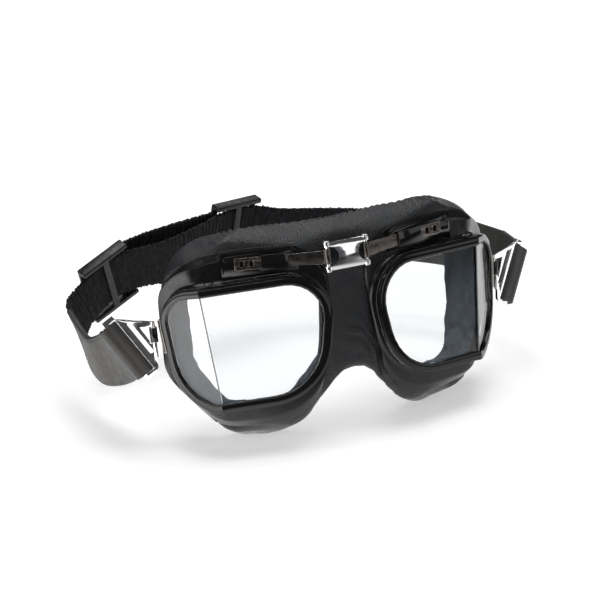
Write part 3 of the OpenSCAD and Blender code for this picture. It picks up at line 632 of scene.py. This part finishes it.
def make_fold_line(name, side):
    half = FOLD_LINE_W / 2
    bend = FOLD_ANGLE / 2
    ends = []
    front, rear = -FOLD_LINE_PROUD, FOLD_LINE_DEEP
    for t in (FOLD_LINE_OVER, -FOLD_LENGTH - FOLD_LINE_OVER):
        corners = [(-half, front), (half, front), (half, rear), (-half, rear)]
        ring = []
        for x, y in corners:
            p = turn_z([x, y, 0], bend)
            q = fold_point(p[0], t)
            ring.append(on_front(q[0], q[1], p[1]) * [side, 1, 1])
        ends.append(leaned(ring))
    verts = np.concatenate(ends)
    faces = [[i, (i + 1) % 4, 4 + (i + 1) % 4, 4 + i] for i in range(4)] + [[3, 2, 1, 0], [4, 5, 6, 7]]
    piece = new_piece("pane_edges_" + name, verts, faces, smooth=False)
    finish_piece(piece, GROUND_GLASS, "cup_" + name)


# Face cushion, with gathers along its crest, creases on the right of the nose and a slow swell
CUSHION_VOXEL = 0.85
ROUNDING_STEPS = 20
GATHER_PITCH = 3.2
GATHER_DEPTH = 0.6
GATHER_START_Z = 19
GATHER_REACH = 58
CREASE_PITCH = 4.4
CREASE_DEPTH = 0.4
CREASE_X = 8
CREASE_REACH = 14
CREASE_START_Z = -12
SWELL_DEPTH = 0.35


def drift(x, y, z):
    """Smooth noise between -1 and 1 at a place."""
    return noise.noise(Vector((x, y, z)))


def limited(value):
    return max(0.0, min(1.0, value))


def cushion_relief(x, y, z, backward):
    """Height of the leather's folds in millimetres, at a place whose skin faces backward by that share."""
    height = SWELL_DEPTH * drift(x * 0.06, y * 0.06, z * 0.06)
    crest = limited((z - GATHER_START_Z) / 4) * limited((backward + 0.3) / 0.4)
    crest *= limited((GATHER_REACH - abs(x)) / 14)
    if crest > 0:
        wave = math.sin(2 * math.pi * (x / GATHER_PITCH + 1.2 * drift(x * 0.09, y * 0.12, 3.1)))
        height += GATHER_DEPTH * crest * wave * (0.6 + 0.5 * drift(x * 0.22, 7.7, 0.4))
    beside_nose = limited((CREASE_REACH - abs(x - CREASE_X)) / 8) * limited((CREASE_START_Z - z) / 10)
    if beside_nose > 0:
        bend = 1.5 * drift(x * 0.11, z * 0.05, 9.2)
        crease = abs(math.sin(math.pi * ((x * 0.8 + z * 0.5) / CREASE_PITCH + bend)))
        height += CREASE_DEPTH * beside_nose * (crease - 0.6)
    return height


def make_cushion():
    """Leather skin in a left and a right half: the solid's own form, rounded, with its folds."""
    whole = bpy.data.objects.new("cushion_form", nodes["face_cushion"].data.copy())
    bpy.context.scene.collection.objects.link(whole)
    remesh = whole.modifiers.new("even", "REMESH")
    remesh.mode = "VOXEL"
    remesh.voxel_size = CUSHION_VOXEL * MM
    smooth = whole.modifiers.new("rounded", "SMOOTH")
    smooth.iterations = ROUNDING_STEPS
    smooth.factor = 0.5
    settled(whole)
    mesh = whole.data
    co = np.empty(len(mesh.vertices) * 3)
    mesh.vertices.foreach_get("co", co)
    co = co.reshape(-1, 3)
    normals = np.array([v.normal for v in mesh.vertices])
    heights = [cushion_relief(*place, normal[1]) for place, normal in zip(upright(co), normals)]
    co += normals * np.array(heights)[:, None] * MM
    co[:, 2] = np.maximum(co[:, 2], 0.0)
    mesh.vertices.foreach_set("co", co.ravel())
    mesh.update()
    mesh.shade_smooth()
    for name, side in SIDES.items():
        half = bpy.data.objects.new("leather_cushion_" + name, mesh.copy())
        bpy.context.scene.collection.objects.link(half)
        bm = bmesh.new()
        bm.from_mesh(half.data)
        bmesh.ops.bisect_plane(bm, geom=bm.verts[:] + bm.edges[:] + bm.faces[:], plane_co=(0, 0, 0),
                               plane_no=(side, 0, 0), clear_inner=True, dist=1e-7)
        bm.to_mesh(half.data)
        bm.free()
        half.data.shade_smooth()
        finish_piece(half, LEATHER)
        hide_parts("face_cushion")
        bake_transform(half)
    bpy.data.objects.remove(whole)


# Strap routes: [point, direction across the strap], in the strap's frame; behind the right eye the elastic
# runs a little higher than in the CAD
LEFT_TAB_ROUTE = [
    [[-90.3, 28, 37], [-0.42, 0.3, 0.86]], [[-91.2, 35.5, 32.4], [-0.35, 0.15, 0.92]],
    [[-93.3, 43, 29.3], [-0.29, -0.05, 0.96]], [[-94, 51, 29.4], [-0.26, -0.25, 0.93]],
    [[-93.8, 61, 32], [-0.32, -0.33, 0.89]], [[-93.1, 68, 34], [-0.4, -0.33, 0.86]],
]
RIGHT_TAB_ROUTE = [
    [[92.2, 27.5, 42.3], [0.4, 0.26, 0.88]], [[91.9, 37.5, 43.4], [0.24, 0.14, 0.96]],
]
ELASTIC_ROUTE = [
    [[-92.9, 68.4, 34.1], [-0.41, -0.33, 0.85]], [[-91, 73.5, 36.2], [-0.45, -0.31, 0.84]],
    [[-87, 76.9, 38.6], [-0.44, -0.34, 0.83]], [[-80.3, 80.2, 42.2], [-0.44, -0.36, 0.82]],
    [[-72, 83, 46], [-0.38, -0.33, 0.86]], [[-62.4, 83.9, 48.2], [-0.34, -0.3, 0.89]],
    [[-46.2, 84.4, 48.8], [-0.23, -0.29, 0.93]], [[-28.3, 89.6, 50.2], [-0.05, -0.23, 0.97]],
    [[-17.8, 93.9, 51.4], [0.03, -0.17, 0.99]], [[-7.5, 97, 51.2], [0.11, -0.11, 0.99]],
    [[2.7, 98.4, 49.1], [0.17, -0.09, 0.98]], [[12, 97.9, 46.5], [0.18, -0.08, 0.98]],
    [[32.3, 94.8, 44], [0.16, -0.04, 0.99]], [[47.2, 88.5, 43.4], [0.05, 0, 1]],
    [[63.9, 78.2, 43.6], [0, 0, 1]], [[80.4, 64.6, 43.4], [0.08, 0.06, 0.99]],
    [[88.6, 48.4, 42.9], [0.18, 0.09, 0.98]], [[91.8, 37.9, 43.4], [0.24, 0.14, 0.96]],
]
RETURN_ROUTE = [
    [[-68.1, 88.2, 47.9], [-0.36, -0.32, 0.88]], [[-58.1, 90.8, 50.6], [-0.3, -0.3, 0.9]],
    [[-45, 92, 52], [-0.22, -0.27, 0.94]], [[-34, 93.7, 52.2], [-0.12, -0.24, 0.96]],
    [[-20.5, 97, 51.6], [0.01, -0.18, 0.98]],
]
ELASTIC_W = 24.5
RETURN_W = ELASTIC_W - 0.5
ELASTIC_T = 1.6
ELASTIC_ROUND = 0.7
ELASTIC_COLUMNS = 17
TAB_W = 25.0
TAB_T = 2.2
TAB_ROUND = 0.8
HIDE_COLUMNS = 9
HIDE_STEP = 0.5
TAB_STEP = 0.4

# Stations where the elastic's two stretches meet and where hide takes over
MIDDLE = 9
HIDE_FROM = 14

# Ribs of the elastic, gathered unevenly, and its fluffy face and edges
RIB_STEP = 0.3
RIB_PITCH = 1.7
RIB_SPREAD = 0.9
RIB_WANDER = 3.6
RIB_DEPTH = 0.3
FLUFF_DEPTH = 0.2
EDGE_INSET = 0.3
EDGE_WAVE = 0.008
EDGE_FRAY = 0.014

# Link and the leather's loop round its bar
HOOK = np.array([78.2, 19.5, -11.1])
LINK_SWING = math.radians(22)
LINK_SLANT = math.radians(32)
LINK_FOOT = np.array([2, -23.5])
TAB_LOW = -1.4


def spline(values, place):
    """Smooth curve through the values, at a place counted in stations."""
    last = len(values) - 1
    i = min(last - 1, int(place))
    f = place - i
    a, b, c, d = (np.asarray(values[max(0, min(last, k))], float) for k in (i - 1, i, i + 1, i + 2))
    bow, twist = 2 * a - 5 * b + 4 * c - d, 3 * b - a - 3 * c + d
    return b + (c - a) * f / 2 + bow * f * f / 2 + twist * f ** 3 / 2


def link_point(n, t, back=0.0):
    """Point n beyond the leather's edge of the link and t up along it, on the +X side of the upright pair."""
    c, s = math.cos(LINK_SLANT), math.sin(LINK_SLANT)
    u, z = LINK_FOOT + [n * c + t * s, -n * s + t * c]
    return np.array([HOOK[0] + u * math.cos(LINK_SWING) - back * math.sin(LINK_SWING),
                     HOOK[1] + u * math.sin(LINK_SWING) + back * math.cos(LINK_SWING), z])


def at_link(side, n, t, back):
    """The same point in the strap's frame, on either side of the pair."""
    p = leaned(link_point(n, t, back)) / MM - STRAP_FRAME
    return p * [side, 1, 1]


def sampled(route, step):
    """Evenly spaced places along a route: centre, across, along and out, in the strap's frame."""
    centres, acrosses = [r[0] for r in route], [r[1] for r in route]
    fine = np.linspace(0, len(route) - 1, 60 * (len(route) - 1) + 1)
    dense = np.array([spline(centres, k) for k in fine])
    lengths = np.concatenate([[0], np.cumsum(np.linalg.norm(np.diff(dense, axis=0), axis=1))])
    count = max(4, int(lengths[-1] / step))
    places = np.interp(np.linspace(0, lengths[-1], count + 1), lengths, fine)
    centre = np.array([spline(centres, k) for k in places])
    across = np.array([unit(spline(acrosses, k)) for k in places])
    along = np.gradient(centre, axis=0)
    along /= np.linalg.norm(along, axis=1)[:, None]
    out = np.cross(along, across)
    out /= np.linalg.norm(out, axis=1)[:, None]
    return centre, across, along, out, np.linspace(0, lengths[-1], count + 1)


def band_mesh(name, rings):
    """Closed band over rings of points in metres."""
    rings = np.array(rings)
    rows, count = rings.shape[:2]
    quads = [(k * count, i, (i + 1) % count) for k in range(rows - 1) for i in range(count)]
    faces = [[row + i, row + j, row + count + j, row + count + i] for row, i, j in quads]
    faces += [list(range(count))[::-1], list(range((rows - 1) * count, rows * count))]
    return new_piece(name, rings.reshape(-1, 3), faces)


def section(width, thick, columns, rounding):
    """Rounded flat section of a band as [across, out] pairs, with its width in columns."""
    half_w, half_t = width / 2, thick / 2
    xs = np.linspace(-half_w + rounding, half_w - rounding, columns)
    arc = [math.pi / 2 * k / 4 for k in range(1, 4)]
    top = [[x, half_t] for x in xs]
    right = [[half_w - rounding + rounding * math.sin(a), half_t * math.cos(a)] for a in arc]
    right += [[half_w, 0.0]]
    right += [[half_w - rounding + rounding * math.cos(a), -half_t * math.sin(a)] for a in arc]
    low = [[x, -half_t] for x in xs[::-1]]
    left = [[-x, -y] for x, y in right]
    return top + right + low + left


def elastic_rings(route, width, seed):
    """Elastic with gathered ribs across it, uneven in width and height, and slightly wavy edges."""
    centre, across, along, out, length = sampled(route, RIB_STEP)
    shape = section(width - 2 * EDGE_INSET, ELASTIC_T, ELASTIC_COLUMNS, ELASTIC_ROUND)
    phase = 0.0
    rings = []
    for k, place in enumerate(length):
        phase += 2 * math.pi * RIB_STEP / (RIB_PITCH + RIB_SPREAD * drift(place * 0.35, seed, 0.5))
        ring = []
        for a, o in shape:
            wander = RIB_WANDER * drift(place * 0.1, a * 0.13, seed + 5)
            swell = 0.35 + 1.5 * abs(drift(place * 0.45, a * 0.1, seed + 9))
            rib = math.sin(phase + wander) * swell + 0.5 * math.sin(phase * 0.47 + wander * 2)
            rough = drift(place * 1.3, a * 0.3, seed + 13)
            stretch = 1 + (EDGE_WAVE * rib + EDGE_FRAY * rough) * abs(a) * 2 / width
            lift = o + np.sign(o) * (RIB_DEPTH * rib + FLUFF_DEPTH * rough)
            ring.append(from_strap(centre[k] + across[k] * a * stretch + out[k] * lift))
        rings.append(ring)
    return rings


def make_elastic():
    """The strap in stretches; the last one on the right is hide."""
    left = band_mesh("elastic_left", elastic_rings(ELASTIC_ROUTE[:MIDDLE + 1], ELASTIC_W, 2))
    right = band_mesh("elastic_right", elastic_rings(ELASTIC_ROUTE[MIDDLE:HIDE_FROM + 1], ELASTIC_W, 4))
    centre, across, along, out, length = sampled(ELASTIC_ROUTE[HIDE_FROM:], HIDE_STEP)
    shape = section(ELASTIC_W, ELASTIC_T, HIDE_COLUMNS, ELASTIC_ROUND)
    rings = [[from_strap(c + s * a + n * o) for a, o in shape] for c, s, n in zip(centre, across, out)]
    end = band_mesh("strap_hide_right", rings)
    stretches = ((left, WEBBING, "left"), (right, WEBBING, "right"), (end, STRAP_LEATHER, "right"))
    for piece, material, side in stretches:
        finish_piece(piece, material)
        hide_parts("elastic")
        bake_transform(piece)
    piece = band_mesh("elastic_return", elastic_rings(RETURN_ROUTE, RETURN_W, 6))
    finish_piece(piece, WEBBING, "bridge")
    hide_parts("elastic")


def stitch_rows(path, length, first, offset, lift, pitch=2.3, long=1.5, radius=0.16):
    """Small raised stitches along both edges and on both faces of a band, as vertices and faces."""
    centre, across, along, out = path
    verts, faces = [], []
    sides, rows = 6, 5
    for edge, face in ((1, 1), (1, -1), (-1, 1), (-1, -1)):
        place = first
        while place < length[-1] - pitch:
            k = min(len(length) - 2, int(np.searchsorted(length, place)))
            mid = centre[k] + across[k] * offset * edge + out[k] * lift * face
            base = len(verts)
            for r in range(rows):
                f = 2 * r / (rows - 1) - 1
                size = radius * math.sqrt(1.05 - f * f)
                ring_mid = mid + along[k] * f * long / 2
                for j in range(sides):
                    a = 2 * math.pi * j / sides
                    spoke = math.cos(a) * across[k] + math.sin(a) * out[k]
                    verts.append(from_strap(ring_mid + spoke * size))
            for r in range(rows - 1):
                for j in range(sides):
                    a, b = base + r * sides + j, base + r * sides + (j + 1) % sides
                    faces.append([a, b, b + sides, a + sides])
            faces.append([base + j for j in range(sides)][::-1])
            faces.append([base + (rows - 1) * sides + j for j in range(sides)])
            place += pitch
    return verts, faces


# Course of the strip round the link's bar, as [beyond the slanted edge, back]: the inner layer, the turn
# and the outer layer
LAYER_T = 1.1
WRAP_COURSE = [
    [6.8, 1.25], [4.6, 1.25], [2.6, 1.25], [1.35, 0.95], [0.95, 0.0], [1.35, -0.95],
    [2.6, -1.25], [4.6, -1.25], [6.4, -1.2], [7.6, -0.6], [8.15, 0.7], [8.25, 2.4],
]
OUTER_LAYER = 7
STITCH_INSET = 1.8


def make_tab(name, side):
    """Leather strap end: a strip that turns round the link's bar, runs on to the elastic and is stitched."""
    mid = TAB_LOW + TAB_W / 2
    route = []
    for n, behind in WRAP_COURSE:
        low, high = at_link(side, n, mid, behind), at_link(side, n, mid + 1, behind)
        route.append([low, high - low])
    route += LEFT_TAB_ROUTE if side < 0 else RIGHT_TAB_ROUTE
    centre, across, along, out, length = sampled(route, TAB_STEP)
    joined = [float(length[np.argmin(np.linalg.norm(centre - route[k][0], axis=1))])
              for k in (OUTER_LAYER, len(WRAP_COURSE) - 1)]
    rings = []
    for k in range(len(centre)):
        f = limited((length[k] - joined[0]) / (joined[1] - joined[0]))
        thick = between(LAYER_T, TAB_T, f)
        shape = section(TAB_W, thick, HIDE_COLUMNS, min(TAB_ROUND, thick * 0.4))
        rings.append([from_strap(centre[k] + across[k] * a + out[k] * o) for a, o in shape])
    strip = band_mesh("strap_end_" + name, rings)
    finish_piece(strip, STRAP_LEATHER)
    path = (centre, across, along, out)
    verts, faces = stitch_rows(path, length, joined[1] + 1, TAB_W / 2 - STITCH_INSET, TAB_T / 2)
    stitches = new_piece("strap_stitches_" + name, verts, faces)
    finish_piece(stitches, THREAD)
    for piece in (strip, stitches):
        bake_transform(piece)
        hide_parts("strap_tab_" + name)


for side_name, side_sign in SIDES.items():
    make_rim(side_name, side_sign)
    make_fold_line(side_name, side_sign)
    make_eyecup(side_name, side_sign)
    make_lining(side_name)
    make_tab(side_name, side_sign)
    for part in ("sleeve", "brow_plate"):
        dressed(part + "_" + side_name, ENAMEL, 0.18, 2)
    dressed("arm_" + side_name, STEEL, 0.2, 2, edge_highlight=BARE_METAL_HIGHLIGHT)
    dressed("rivets_" + side_name, ENAMEL, 0.2, 2)
    dressed("clamp_screw_" + side_name, STEEL, 0.25, 3)
    dressed("bracket_" + side_name, ENAMEL, 0.2, 2, edge_highlight=BARE_METAL_HIGHLIGHT)
    dressed("link_" + side_name, CHROME, 0.3, 3)
    for part in ("lens_front", "lens_side"):
        pane = nodes[part + "_" + side_name]
        pane.data.materials.clear()
        pane.data.materials.append(GLASS)
    seat = nodes["seat_frame_" + side_name]
    seat.data.materials.clear()
    seat.data.materials.append(ENAMEL)

dressed("bridge_plate", CHROME, 0.18, 2)
dressed("hinge_pins", CHROME, 0.2, 2)
for part in ("slider_front", "slider_back"):
    dressed(part, PLASTIC, 0.6, 4)
make_cushion()
make_elastic()


# Floor, backdrop and light
def shows_white(tree):
    """1 for rays from the camera, straight or through a pane, and 0 for light and reflections."""
    ray = tree.nodes.new("ShaderNodeLightPath")
    either = tree.nodes.new("ShaderNodeMath")
    either.operation = "MAXIMUM"
    tree.links.new(ray.outputs["Is Camera Ray"], either.inputs[0])
    tree.links.new(ray.outputs["Is Transmission Ray"], either.inputs[1])
    return either.outputs[0]


def in_reflections(tree):
    """1 for rays that reflections send out, and 0 for all others, also through a pane."""
    ray = tree.nodes.new("ShaderNodeLightPath")
    only = tree.nodes.new("ShaderNodeMath")
    only.operation = "SUBTRACT"
    only.use_clamp = True
    tree.links.new(ray.outputs["Is Glossy Ray"], only.inputs[0])
    tree.links.new(ray.outputs["Is Transmission Ray"], only.inputs[1])
    return only.outputs[0]


def lit_pool(tree, centre, near, far, light):
    """A pool of light on the floor that only reflections see: full inside near, gone beyond far."""
    place = tree.nodes.new("ShaderNodeTexCoord")
    distance = tree.nodes.new("ShaderNodeVectorMath")
    distance.operation = "DISTANCE"
    distance.inputs[1].default_value = centre
    pool = tree.nodes.new("ShaderNodeMapRange")
    pool.interpolation_type = "SMOOTHSTEP"
    pool.inputs["From Min"].default_value, pool.inputs["From Max"].default_value = near, far
    pool.inputs["To Min"].default_value, pool.inputs["To Max"].default_value = light, 0
    seen_only = tree.nodes.new("ShaderNodeMath")
    seen_only.operation = "MULTIPLY"
    tree.links.new(place.outputs["Object"], distance.inputs[0])
    tree.links.new(distance.outputs["Value"], pool.inputs["Value"])
    tree.links.new(pool.outputs["Result"], seen_only.inputs[0])
    tree.links.new(in_reflections(tree), seen_only.inputs[1])
    return seen_only.outputs[0]


FLOOR_REACH = 3
FLOOR_COLOUR = (0.9, 0.9, 0.905)
FLOOR_IN_GLOSS = (0.05, 0.05, 0.052)
FLOOR_GLOW = 0.43
# Each pool as centre, near, far and light
LEFT_POOL = ((-0.28, -0.12, 0), 0.02, 0.36, 4.2)
RIGHT_POOL = ((0.42, 0.1, 0), 0.22, 0.6, 1.6)
WORLD_COLOUR = (0.85, 0.87, 0.9)
WORLD_LIGHT = 0.1
LIGHT_AIM = (0, 0, 0.05)


def make_floor():
    """A floor that the camera sees white, and reflections see dark with two pools of light."""
    corners = [(x * FLOOR_REACH, y * FLOOR_REACH, 0) for x, y in ((-1, -1), (1, -1), (1, 1), (-1, 1))]
    floor = new_piece("floor", corners, [(0, 1, 2, 3)], smooth=False)
    material = shader("pale_floor", "leather", FLOOR_COLOUR, 0.6)
    mottled(material, (0.89, 0.89, 0.895), (0.91, 0.91, 0.915), 8)
    tree = material.node_tree
    surface = tree.nodes["Principled BSDF"]
    surface.inputs["Emission Color"].default_value = (1, 1, 1, 1)
    tone = tree.nodes.new("ShaderNodeMixRGB")
    tone.inputs["Color2"].default_value = (*FLOOR_IN_GLOSS, 1)
    tree.links.new(in_reflections(tree), tone.inputs["Fac"])
    tree.links.new(surface.inputs["Base Color"].links[0].from_socket, tone.inputs["Color1"])
    tree.links.new(tone.outputs["Color"], surface.inputs["Base Color"])
    glow = tree.nodes.new("ShaderNodeMath")
    glow.operation = "MULTIPLY_ADD"
    glow.inputs[1].default_value = FLOOR_GLOW
    pools = tree.nodes.new("ShaderNodeMath")
    for i, pool in enumerate((LEFT_POOL, RIGHT_POOL)):
        tree.links.new(lit_pool(tree, *pool), pools.inputs[i])
    tree.links.new(shows_white(tree), glow.inputs[0])
    tree.links.new(pools.outputs[0], glow.inputs[2])
    tree.links.new(glow.outputs[0], surface.inputs["Emission Strength"])
    floor.data.materials.append(material)


def make_world():
    """A backdrop that the camera sees white, and all else lit dimly."""
    world = bpy.context.scene.world or bpy.data.worlds.new("world")
    bpy.context.scene.world = world
    world.use_nodes = True
    tree = world.node_tree
    tree.nodes.clear()
    seen = tree.nodes.new("ShaderNodeBackground")
    seen.inputs["Color"].default_value = (1, 1, 1, 1)
    lit = tree.nodes.new("ShaderNodeBackground")
    lit.inputs["Color"].default_value = (*WORLD_COLOUR, 1)
    lit.inputs["Strength"].default_value = WORLD_LIGHT
    mix = tree.nodes.new("ShaderNodeMixShader")
    output = tree.nodes.new("ShaderNodeOutputWorld")
    tree.links.new(shows_white(tree), mix.inputs["Fac"])
    tree.links.new(lit.outputs["Background"], mix.inputs[1])
    tree.links.new(seen.outputs["Background"], mix.inputs[2])
    tree.links.new(mix.outputs["Shader"], output.inputs["Surface"])


def softbox(name, place, size, brightness, colour=(1, 1, 1)):
    """A rectangular light panel; brightness is its radiance, so that a larger panel looks the same."""
    data = bpy.data.lights.new(name, "AREA")
    data.color = colour
    data.shape = "RECTANGLE"
    data.size, data.size_y = size
    data.energy = brightness * math.pi * size[0] * size[1]
    light = bpy.data.objects.new(name, data)
    bpy.context.scene.collection.objects.link(light)
    light.location = place
    light.rotation_mode = "QUATERNION"
    light.rotation_quaternion = (Vector(LIGHT_AIM) - Vector(place)).to_track_quat("-Z", "Y")


make_floor()
make_world()
softbox("left_panel", (-1.3, -0.35, 0.35), (1.1, 0.8), 2.8, (1, 0.96, 0.92))
softbox("top_panel", (0.1, 0.15, 1.1), (0.9, 0.6), 4.6)
softbox("right_panel", (1.2, -0.7, 0.45), (0.7, 0.6), 0.9)
softbox("rear_panel", (0.2, 1.0, 0.7), (1.0, 0.4), 1.3)
softbox("front_card", (0.55, -1.18, 0.35), (0.45, 0.5), 1.25)
softbox("front_strip", (-0.35, -0.95, 1.0), (0.8, 0.06), 6.5)

# Camera at the photograph's angle, aimed at the upright frame's origin
CAMERA_AZIMUTH = math.radians(-25.03)
CAMERA_ELEVATION = math.radians(24.57)
CAMERA_DISTANCE = 1.06595
LENS = 156
SENSOR_W = 36
PHOTO_W = 600
AIM_ACROSS = 45.05 / PHOTO_W
AIM_UP = 19.3 / PHOTO_W
NEAREST_SEEN = 0.01


def make_camera():
    camera = bpy.data.objects.new("camera", bpy.data.cameras.new("camera"))
    bpy.context.scene.collection.objects.link(camera)
    back = Vector((math.sin(CAMERA_AZIMUTH) * math.cos(CAMERA_ELEVATION),
                   -math.cos(CAMERA_AZIMUTH) * math.cos(CAMERA_ELEVATION), math.sin(CAMERA_ELEVATION)))
    camera.location = Vector((0, -FRONT_SHIFT * MM, STAND_HEIGHT * MM)) + back * CAMERA_DISTANCE
    camera.rotation_mode = "QUATERNION"
    camera.rotation_quaternion = (-back).to_track_quat("-Z", "Y")
    camera.data.lens = LENS
    camera.data.sensor_width = SENSOR_W
    camera.data.shift_x = -AIM_ACROSS
    camera.data.shift_y = -AIM_UP
    camera.data.clip_start = NEAREST_SEEN
    bpy.context.scene.camera = camera


make_camera()
bpy.context.scene.view_settings.view_transform = "Standard"
